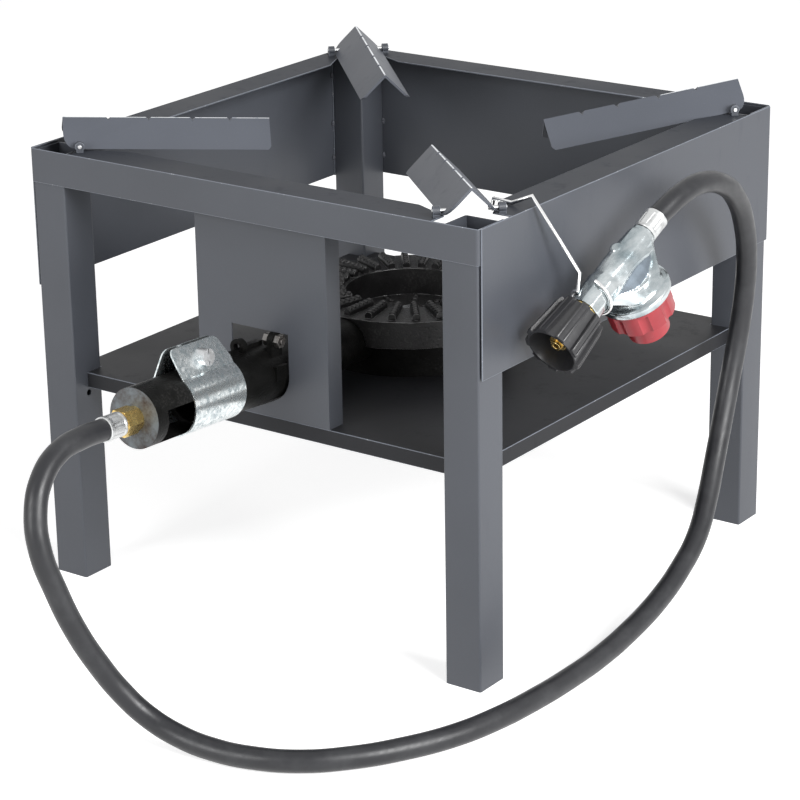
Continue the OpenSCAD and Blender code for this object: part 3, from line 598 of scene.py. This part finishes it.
# %% [markdown]
# ## Weld beads
# Short beads hold the sheets to the legs. A bead is a quarter-round fillet with ripples along it,
# one for each drop of the weld pool. Its tree sweeps a quarter-round profile along a short line
# whose radius rises and falls, and stands a copy in every inside corner.

# %% Weld beads in the corners
SHEET = 1.2
HALF = 203.0
LEG_IN_X, LEG_IN_Y = 170.6, 171.8
SHELF_HALF = 188.0
RAIL_WELD_Z, SKIRT_TOP_Z, SHELF_WELD_Z = 329.0, 342.0, 160.0
SKIRT_WELD_DROPS = (20, 62, 92)
bead_tree_maker = Growth("rippled_weld_beads")
bead_r = bead_tree_maker.size("Radius", 0.0025)
bead_len = bead_tree_maker.size("Length", 0.006)
ripples = bead_tree_maker.size("Ripples", 4.0)
half_len = bead_tree_maker.maths("MULTIPLY", bead_len, 0.5)
low = bead_tree_maker.add("ShaderNodeCombineXYZ", Z=bead_tree_maker.maths("MULTIPLY", half_len, -1.0))
high = bead_tree_maker.add("ShaderNodeCombineXYZ", Z=half_len)
line = bead_tree_maker.add("GeometryNodeCurvePrimitiveLine", Start=low.outputs[0], End=high.outputs[0])
dense = bead_tree_maker.add("GeometryNodeResampleCurve", Curve=line.outputs[0], Count=25)
along = bead_tree_maker.add("GeometryNodeSplineParameter").outputs["Factor"]
wave = bead_tree_maker.maths("ABSOLUTE", bead_tree_maker.maths("SINE", bead_tree_maker.maths(
    "MULTIPLY", along, bead_tree_maker.maths("MULTIPLY", ripples, math.pi))))
dome = bead_tree_maker.maths("SQRT", bead_tree_maker.maths("SINE", bead_tree_maker.maths(
    "MULTIPLY", along, math.pi)))
swell = bead_tree_maker.maths("MULTIPLY", bead_tree_maker.maths("MULTIPLY_ADD", wave, 0.25), dome)
swell.node.inputs[0].links[0].from_node.inputs[2].default_value = 0.75
radius = bead_tree_maker.maths("MAXIMUM", swell, 0.1)
swept = bead_tree_maker.add("GeometryNodeSetCurveRadius", Curve=dense.outputs[0], Radius=radius)
quarter = bead_tree_maker.add("GeometryNodeCurveArc", Resolution=8, Radius=bead_r, Sweep_Angle=math.pi / 2)
quarter.inputs["Connect Center"].default_value = True
bead = bead_tree_maker.add("GeometryNodeCurveToMesh", Curve=swept.outputs[0], i1=quarter.outputs[0])
scale_socket = bead.inputs.get("Scale")
if scale_socket:
    bead_tree_maker.tree.links.new(radius, scale_socket)
bead.inputs["Fill Caps"].default_value = True
lean = bead_tree_maker.add("GeometryNodeInputNamedAttribute", Name="turn")
facing = bead_tree_maker.add("ShaderNodeCombineXYZ", Z=lean.outputs["Attribute"])
beads = bead_tree_maker.add("GeometryNodeInstanceOnPoints", Points=bead_tree_maker.given.outputs["Geometry"],
                            Instance=bead.outputs[0], Rotation=facing.outputs[0])
bead_tree = bead_tree_maker.end(beads.outputs[0])

corners = []
for sx in (-1, 1):
    corners.append((sx * LEG_IN_X, -HALF + SHEET, RAIL_WELD_Z, -sx, 1))
    for drop in SKIRT_WELD_DROPS:
        corners.append((sx * LEG_IN_X, HALF - SHEET, SKIRT_TOP_Z - drop, -sx, -1))
        corners += [(sx * (HALF - SHEET), sy * LEG_IN_Y, SKIRT_TOP_Z - drop, -sx, -sy) for sy in (-1, 1)]
    for sy in (-1, 1):
        corners.append((sx * LEG_IN_X, sy * (SHELF_HALF - SHEET), SHELF_WELD_Z, -sx, -sy))
        corners.append((sx * (SHELF_HALF - SHEET), sy * LEG_IN_Y, SHELF_WELD_Z, -sx, -sy))
spots = bpy.data.meshes.new("weld_spots")
spots.from_pydata([(stove @ Vector(c[:3])) for c in corners], [], [])
turns = spots.attributes.new("turn", "FLOAT", "POINT")
quadrant = {(1, 1): 0, (-1, 1): 1, (-1, -1): 2, (1, -1): 3}
for i, c in enumerate(corners):
    turns.data[i].value = quadrant[c[3], c[4]] * math.pi / 2
welds = grow("rippled_weld_beads", bead_tree, spots, Matrix(), Finish=weld_metal)
link(welds, "stand", "painted_steel", "tack_welds")
print("weld beads:", len(corners), "with", len(welds.data.polygons), "faces")

# %% [markdown]
# ## Burner castings
# The bowl and mixing tube are one casting, the ring with its ribs another. Real sand castings have
# rounded edges everywhere, so the bevel is wider here. Each flame port gets the small raised rim
# that a drill leaves, one row made by hand and turned round by the ring tree. The same tree repeats
# a row of small cast beads on every rib.

# %% Bowl, tube, head, port rims and rib beads
TUBE_FACE = 329.0


def mark_end_face(bm):
    """Marks the flat end of the mixing tube round the brass fitting."""
    to_tube = along_tube.inverted()
    for face in bm.faces:
        if all((to_tube @ v.co).z > TUBE_FACE - 0.5 for v in face.verts):
            face.material_index = 2


dressed("burner_body", "burner_bowl_and_tube", "cast_iron", tube_iron, tube_iron, 0.9, 32, 3,
        mark_end_face, end_face)
dressed("burner_head", "ribbed_burner_head", "cast_iron", burner_iron, rubbed_edge, 0.8, 32, 3)


def turned(profile, sides, swell=None, closed=False):
    """Turns (radius, height) points in mm round Z; swell(angle, radius, height) may change a radius."""
    bm = bmesh.new()
    rings = []
    for r, z in profile:
        loop = []
        for k in range(sides):
            a = math.tau * k / sides
            rr = swell(a, r, z) if swell else r
            loop.append(bm.verts.new((rr * math.cos(a), rr * math.sin(a), z)))
        rings.append(loop)
    pairs = list(zip(rings, rings[1:])) + ([(rings[-1], rings[0])] if closed else [])
    for low_ring, high_ring in pairs:
        for k in range(sides):
            n = (k + 1) % sides
            bm.faces.new((low_ring[k], low_ring[n], high_ring[n], high_ring[k]))
    if not closed:
        bm.faces.new(list(reversed(rings[0])))
        bm.faces.new(rings[-1])
    bmesh.ops.recalc_face_normals(bm, faces=bm.faces)
    return bm


def mesh_of(bm, name, place=None, sharp=40):
    """A plain mesh from a bmesh, smooth but for its sharp edges."""
    if place:
        bmesh.ops.transform(bm, matrix=place, verts=bm.verts)
    mesh = bpy.data.meshes.new(name)
    bm.to_mesh(mesh)
    bm.free()
    mesh.shade_smooth()
    mesh.set_sharp_from_angle(angle=math.radians(sharp))
    return mesh


def joined(meshes, name):
    """Several meshes as one."""
    bm = bmesh.new()
    for mesh in meshes:
        bm.from_mesh(mesh)
        bpy.data.meshes.remove(mesh)
    return mesh_of(bm, name)


PORT_RADII, PORTS = (18, 27, 36, 45), 12
rims = []
for r in PORT_RADII:
    rim = turned([(1.6, 191.6), (1.7, 192.5), (2.2, 192.9), (2.8, 192.6), (3.1, 191.6)], 14, closed=True)
    rims.append(mesh_of(rim, "rim", Matrix.Translation((r, 0, 0)), 80))
port_rims = grow("raised_port_rims", ring_tree, joined(rims, "port_rim_row"), stove,
                 Count=PORTS, Finish=burner_iron)
link(port_rims, "stand", "cast_iron")
BEAD_RADII, RIBS, RIB_TOP = range(54, 81, 5), 28, 218.0
domes = []
for r in BEAD_RADII:
    dome = turned([(2.5, RIB_TOP - 1.4), (2.4, RIB_TOP - 0.2), (1.9, RIB_TOP + 0.5),
                   (1.1, RIB_TOP + 0.9), (0.3, RIB_TOP + 1.0)], 12)
    domes.append(mesh_of(dome, "bead", Matrix.Translation((r, 0, 0)), 80))
rib_beads = grow("cast_beads_on_ribs", ring_tree, joined(domes, "rib_bead_row"), stove,
                 Count=RIBS, Finish=burner_iron)
link(rib_beads, "stand", "cast_iron")
print("port rims:", PORTS * len(PORT_RADII), "rib beads:", RIBS * len(BEAD_RADII))

# %% [markdown]
# ## Screws, nuts and brass
# Bought fittings are crisp, so their bevels are small. They carry plain steel or brass with fine
# turning marks.

# %% Bolts, screws and the brass orifice fitting
for node, name, slot, paint, width in (
        ("burner_bolt", "burner_hex_bolt", "bare_steel", bolt_steel, 0.4),
        ("burner_nut", "burner_hex_nut", "bare_steel", bolt_steel, 0.3),
        ("lug_bolt", "tube_lug_bolt", "bare_steel", dark_bolt_steel, 0.4),
        ("lug_nut", "tube_lug_nut", "bare_steel", dark_bolt_steel, 0.3),
        ("shutter_screw", "shutter_slotted_screw", "bare_steel", bolt_steel, 0.3),
        ("shutter_nut", "shutter_clamp_nut", "bare_steel", bolt_steel, 0.3),
        ("orifice_fitting", "brass_orifice_fitting", "brass", fitting_brass, 0.4),
        ("inlet_nipple", "brass_inlet_nipple", "brass", fitting_brass, 0.35)):
    dressed(node, name, slot, paint, paint, width)
dressed("air_shutter", "galvanised_air_shutter", "zinc_plate", shutter_zinc, shutter_zinc, 0.3)
print("fittings dressed")

# %% [markdown]
# ## Crimped ferrules
# A hydraulic press squeezes each ferrule onto the hose with jaws, which leave long flats and pinch
# marks between them. The ferrule is turned from a profile whose radius dips at regular angles.

# %% Two crimped ferrules
FERRULE_R, FERRULE_LEN = 9.0, 17.0
JAWS_FROM, JAWS_TO = 2.5, 13.5
BURNER_FERRULE_AT, REGULATOR_FERRULE_AT = 345, 120


def crimped(angle, r, z):
    """Eight jaw flats between two plain ends."""
    if not JAWS_FROM < z < JAWS_TO:
        return r
    flat = abs(math.cos(4 * angle)) ** 0.35
    return r * (0.925 + 0.06 * flat)


def ferrule(name, place, node):
    """A hollow ferrule with softened rims, in place of the measured one."""
    heights = [0.0, 0.5, 1.0, 2.2, 2.8] + [3.4 + 0.9 * i for i in range(11)] + [
        13.3, 13.9, 15.6, 16.5, FERRULE_LEN]
    outer = [(FERRULE_R - (0.5 if z in (0.0, FERRULE_LEN) else 0.0), z) for z in heights]
    bm = turned([(6.5, 0.0)] + outer + [(8.05, FERRULE_LEN), (8.05, 13.0)], 96, crimped)
    mesh = mesh_of(bm, name, place, 35)
    mesh.materials.append(ferrule_steel)
    return link(bpy.data.objects.new(name, mesh), node_body[node], "bare_steel", node)


burner_end = ferrule("burner_end_crimped_ferrule",
                     along_tube @ Matrix.Translation((0, 0, BURNER_FERRULE_AT)), "burner_ferrule")
regulator_end = ferrule("regulator_end_crimped_ferrule",
                        along_regulator @ Matrix.Translation((0, REGULATOR_FERRULE_AT, 0))
                        @ Matrix.Rotation(math.radians(-90), 4, "X"), "regulator_ferrule")
print("ferrule faces:", len(burner_end.data.polygons))

# %% [markdown]
# ## Regulator body
# The regulator is die-cast zinc. A round tube runs through it and swells downwards into a
# diaphragm housing with sloping sides. Rough blocks are made to overlap, a voxel Remesh welds them
# into one skin, and smoothing rounds every meeting line into the soft fillets of a casting.

# %% Cast the regulator body
def loft(sections):
    """A skin through closed sections, each a list of points in mm."""
    bm = bmesh.new()
    loops = [[bm.verts.new(p) for p in section] for section in sections]
    for a, b in zip(loops, loops[1:]):
        for k in range(len(a)):
            n = (k + 1) % len(a)
            bm.faces.new((a[k], a[n], b[n], b[k]))
    bm.faces.new(list(reversed(loops[0])))
    bm.faces.new(loops[-1])
    bmesh.ops.recalc_face_normals(bm, faces=bm.faces)
    return bm


DISH_Y = 90.0
along_y = Matrix.Rotation(math.radians(-90), 4, "X")
at_dish = Matrix.Translation((0, DISH_Y, 0))
shoulders = []
for y, top_w, low_w, top, low in (
        (57, 6, 8, 9, -9), (64, 7.5, 11, 10, -15), (73, 8.5, 17, 10.5, -22), (83, 9, 20.5, 10.5, -25),
        (96, 9, 20.5, 10, -25), (106, 8.5, 16, 9.5, -21), (114, 7.5, 10, 8.5, -13), (118, 6.5, 7.5, 7.5, -8)):
    mid_w, mid = (top_w + low_w) / 2, (top + low) / 2
    shoulders.append([(top_w * 0.6, y, top), (top_w, y, top - 3), (mid_w + 0.6, y, mid), (low_w, y, low),
                      (-low_w, y, low), (-mid_w - 0.6, y, mid), (-top_w, y, top - 3), (-top_w * 0.6, y, top)])
blocks = [
    mesh_of(loft(shoulders), "shoulders"),
    mesh_of(turned([(12, 40.3), (12, 60), (12.4, 66), (11, 70), (10, 90)], 10), "neck", along_y),
    mesh_of(turned([(10.8, 60), (11.2, 90), (10.6, 109), (10.4, 115), (9.2, 116.5), (9.2, 119.8)], 10),
            "barrel", along_y),
    mesh_of(turned([(26.6, -31), (27.5, -30), (27.5, -26.2), (26.5, -24.8), (22.5, -24), (21, -22), (19, -16),
                    (15, -10)], 72), "housing", at_dish),
    mesh_of(turned([(4.5, 0), (4.5, 11.4), (3.8, 12.2)], 24), "boss", Matrix.Translation((-3, 93, 0)))]
body_mesh = joined(blocks, "regulator_die_cast_body")
body_carrier = bpy.data.objects.new("regulator_blocks", body_mesh)
bpy.context.scene.collection.objects.link(body_carrier)
weld = body_carrier.modifiers.new("one_skin", "REMESH")
weld.mode, weld.voxel_size = "VOXEL", 0.75
round_off = body_carrier.modifiers.new("fillets", "SMOOTH")
round_off.factor, round_off.iterations = 0.5, 7
bpy.context.view_layer.update()
cast = bpy.data.meshes.new_from_object(body_carrier.evaluated_get(bpy.context.evaluated_depsgraph_get()))
bpy.data.objects.remove(body_carrier)
print("regulator skin:", len(cast.polygons), "faces")

# %% [markdown]
# The side of the casting has a long lens-shaped recess, left bare and grey. It is pressed into the
# skin point by point: deepest in the middle, with a short steep wall, and given its own finish.

# %% Press in the side recess
LENS_CENTRE, LENS_HALF, LENS_DEPTH = (88.0, -7.0), (25.0, 7.2), 1.3
LENS_WALL = 1.9


def inside_lens(point):
    """0 outside the lens, rising to 1 a little way in from its edge."""
    along = (point.y - LENS_CENTRE[0]) / LENS_HALF[0]
    if point.x < 4 or abs(along) >= 1:
        return 0.0
    half = LENS_HALF[1] * (1 - along * along)
    across = abs(point.z - LENS_CENTRE[1]) / max(half, 0.01)
    return max(0.0, min(1.0, (1 - across) * half / LENS_WALL))


normals = [v.normal.copy() for v in cast.vertices]
depth = [inside_lens(v.co) for v in cast.vertices]
for vertex, normal, share in zip(cast.vertices, normals, depth):
    vertex.co -= normal * LENS_DEPTH * share
cast.materials.append(regulator_zinc)
cast.materials.append(recess_zinc)
for face in cast.polygons:
    face.material_index = int(min(depth[i] for i in face.vertices) > 0.75)
cast.transform(along_regulator)
cast.shade_smooth()
cast.name = "regulator_die_cast_body"
link(bpy.data.objects.new("regulator_die_cast_body", cast), "stand", "die_cast", "regulator_body")
print("recess faces:", sum(f.material_index for f in cast.polygons))

# %% [markdown]
# ## Knob and cylinder nut
# The knob keeps its measured flutes and gets generous round edges, as moulded plastic has. The
# black nut has a pair of narrow ribs on every wing: one pair is swept along the taper and the ring
# tree turns it round.

# %% Red knob and black nut
dressed("knob", "fluted_red_knob", "red_plastic", knob_red, knob_red, 1.1, 30, 3)
dressed("coupling_nut", "winged_cylinder_nut", "black_plastic", nut_black, nut_black, 0.5, 30, 2)
NUT_LEN, NUT_R, NUT_BACK_R, WINGS = 36.0, 21.5, 18.5, 9
pair = []
for rib_x in (-2.55, 2.55):
    sections = []
    for y, lift in ((0.8, 0.1), (2.5, 0.75), (20, 0.75), (33, 0.75), (35.4, 0.1)):
        r = NUT_R + (NUT_BACK_R - NUT_R) * y / NUT_LEN
        foot, shoulder, crest = r - 0.8, r + lift * 0.6 - 0.1, r + lift - 0.1
        sections.append([(rib_x - 0.75, y, foot), (rib_x - 0.75, y, shoulder), (rib_x - 0.35, y, crest),
                         (rib_x + 0.35, y, crest), (rib_x + 0.75, y, shoulder), (rib_x + 0.75, y, foot)])
    pair.append(mesh_of(loft(sections), "nut_rib", Matrix.Rotation(math.radians(90), 4, "X")))
# The ring tree turns round Z, so the nut's axis is laid along Z and back again
nut_ribs = grow("nut_wing_ribs", ring_tree, joined(pair, "nut_rib_pair"),
                along_regulator @ along_y, Count=WINGS, Finish=nut_black)
link(nut_ribs, "cylinder_nut", "black_plastic")
print("nut ribs:", 2 * WINGS)

# %% [markdown]
# ## Hanging wire and hose
# The wire is a curve like the hose: a hook over the flange, a straight run, and most of a turn
# round the regulator's neck. The hose gets its rubber finish.

# %% Bright wire, and the hose's finish
WIRE_D = 3.0
RING_R, RING_Y, RING_LEAN = 13.6, 46.0, 12.0
RING_FROM, RING_SWEEP, RING_STEP = 75, 330, 15
wire_route = [(167, -135, 334.5), (171, -138, 343.7), (188, -141, 343.8), (205, -142, 351.5),
              (222, -107, 290)]
wire_points = [stove @ Vector(p) for p in wire_route]
for a in range(RING_FROM, RING_FROM - RING_SWEEP - 1, -RING_STEP):
    turn_a = math.radians(a)
    ring_y = RING_Y + RING_LEAN * (RING_FROM - a) / RING_SWEEP
    wire_points.append(along_regulator @ Vector((-RING_R * math.cos(turn_a), ring_y,
                                                 RING_R * math.sin(turn_a))))
wire_curve = smooth_curve("hanging_wire_hook", wire_points, WIRE_D * MM, 6, 5)
for knot in wire_curve.data.splines[0].bezier_points[:len(wire_route) + 1]:
    knot.handle_left_type = knot.handle_right_type = "VECTOR"
bpy.context.view_layer.update()
wire_mesh = bpy.data.meshes.new_from_object(wire_curve.evaluated_get(bpy.context.evaluated_depsgraph_get()))
bpy.data.objects.remove(wire_curve)
wire_mesh.name = "hanging_wire_hook"
wire_mesh.materials.append(wire_metal)
link(bpy.data.objects.new("hanging_wire_hook", wire_mesh), "stand", "bright_wire", "hanging_wire")

rubber_hose.data.materials.append(rubber_finish)
link(rubber_hose, "stand", "rubber", "hose")
print("wire and hose in place")

# %% [markdown]
# ## Studio
# The photograph has a pure white ground and large soft lights from the front left and, stronger,
# from the right. The floor and the world look white to the camera and in reflections, while the
# light that falls on the object stays plain, so colours render about as written.

# %% Floor, world and lights
FLOOR_HALF, FLOOR_LIFT, WORLD_LIFT = 6, 0.62, 0.32
LIGHT_AIM = Vector((0, 0.07, 0.22))


def shows_the_ground(nodes, links):
    """1 for rays that should find the white ground: seen directly, in metal or through glass."""
    rays = nodes.new("ShaderNodeLightPath")
    seen = rays.outputs["Is Camera Ray"]
    for kind in ("Is Glossy Ray", "Is Transmission Ray"):
        either = nodes.new("ShaderNodeMath")
        either.operation = "MAXIMUM"
        links.new(seen, either.inputs[0])
        links.new(rays.outputs[kind], either.inputs[1])
        seen = either.outputs[0]
    return seen


def stage_floor():
    """A white floor that glows a little where it is seen, and not where it lights the stove."""
    bm = bmesh.new()
    bmesh.ops.create_grid(bm, x_segments=1, y_segments=1, size=FLOOR_HALF)
    floor = bpy.data.objects.new("studio_floor", mesh_of(bm, "studio_floor"))
    bpy.context.scene.collection.objects.link(floor)
    material = bpy.data.materials.new("studio_floor_white")
    material.use_nodes = True
    nodes, links = material.node_tree.nodes, material.node_tree.links
    shader = nodes["Principled BSDF"]
    shader.inputs["Base Color"].default_value = (0.82, 0.82, 0.82, 1)
    shader.inputs["Roughness"].default_value = 0.9
    shader.inputs["Specular IOR Level"].default_value = 0.0
    lift = nodes.new("ShaderNodeMath")
    lift.operation = "MULTIPLY"
    lift.inputs[1].default_value = FLOOR_LIFT
    links.new(shows_the_ground(nodes, links), lift.inputs[0])
    shader.inputs["Emission Color"].default_value = (1, 1, 1, 1)
    links.new(lift.outputs[0], shader.inputs["Emission Strength"])
    floor.data.materials.append(material)


stage_floor()
world = bpy.data.worlds.new("studio_world")
bpy.context.scene.world = world
world.use_nodes = True
nodes, links = world.node_tree.nodes, world.node_tree.links
sky = nodes["Background"]
sky.inputs["Color"].default_value = (1, 1, 1, 1)
level = nodes.new("ShaderNodeMapRange")
links.new(shows_the_ground(nodes, links), level.inputs[0])
level.inputs[3].default_value = WORLD_LIFT
level.inputs[4].default_value = 1.0
links.new(level.outputs[0], sky.inputs["Strength"])


def soft_light(name, azimuth, height, distance, size, watts):
    """A square softbox that faces the stove."""
    data = bpy.data.lights.new(name, "AREA")
    data.shape, data.size, data.energy = "SQUARE", size, watts
    lamp = bpy.data.objects.new(name, data)
    bpy.context.scene.collection.objects.link(lamp)
    a = math.radians(azimuth)
    lamp.location = LIGHT_AIM + Vector((math.sin(a) * distance, -math.cos(a) * distance, height))
    lamp.rotation_euler = (LIGHT_AIM - lamp.location).to_track_quat("-Z", "Y").to_euler()


soft_light("right_softbox", 76, 1.05, 2.3, 1.3, 82)
soft_light("front_left_softbox", -12, 0.9, 2.6, 1.2, 32)
bpy.context.scene.view_settings.view_transform = "Standard"
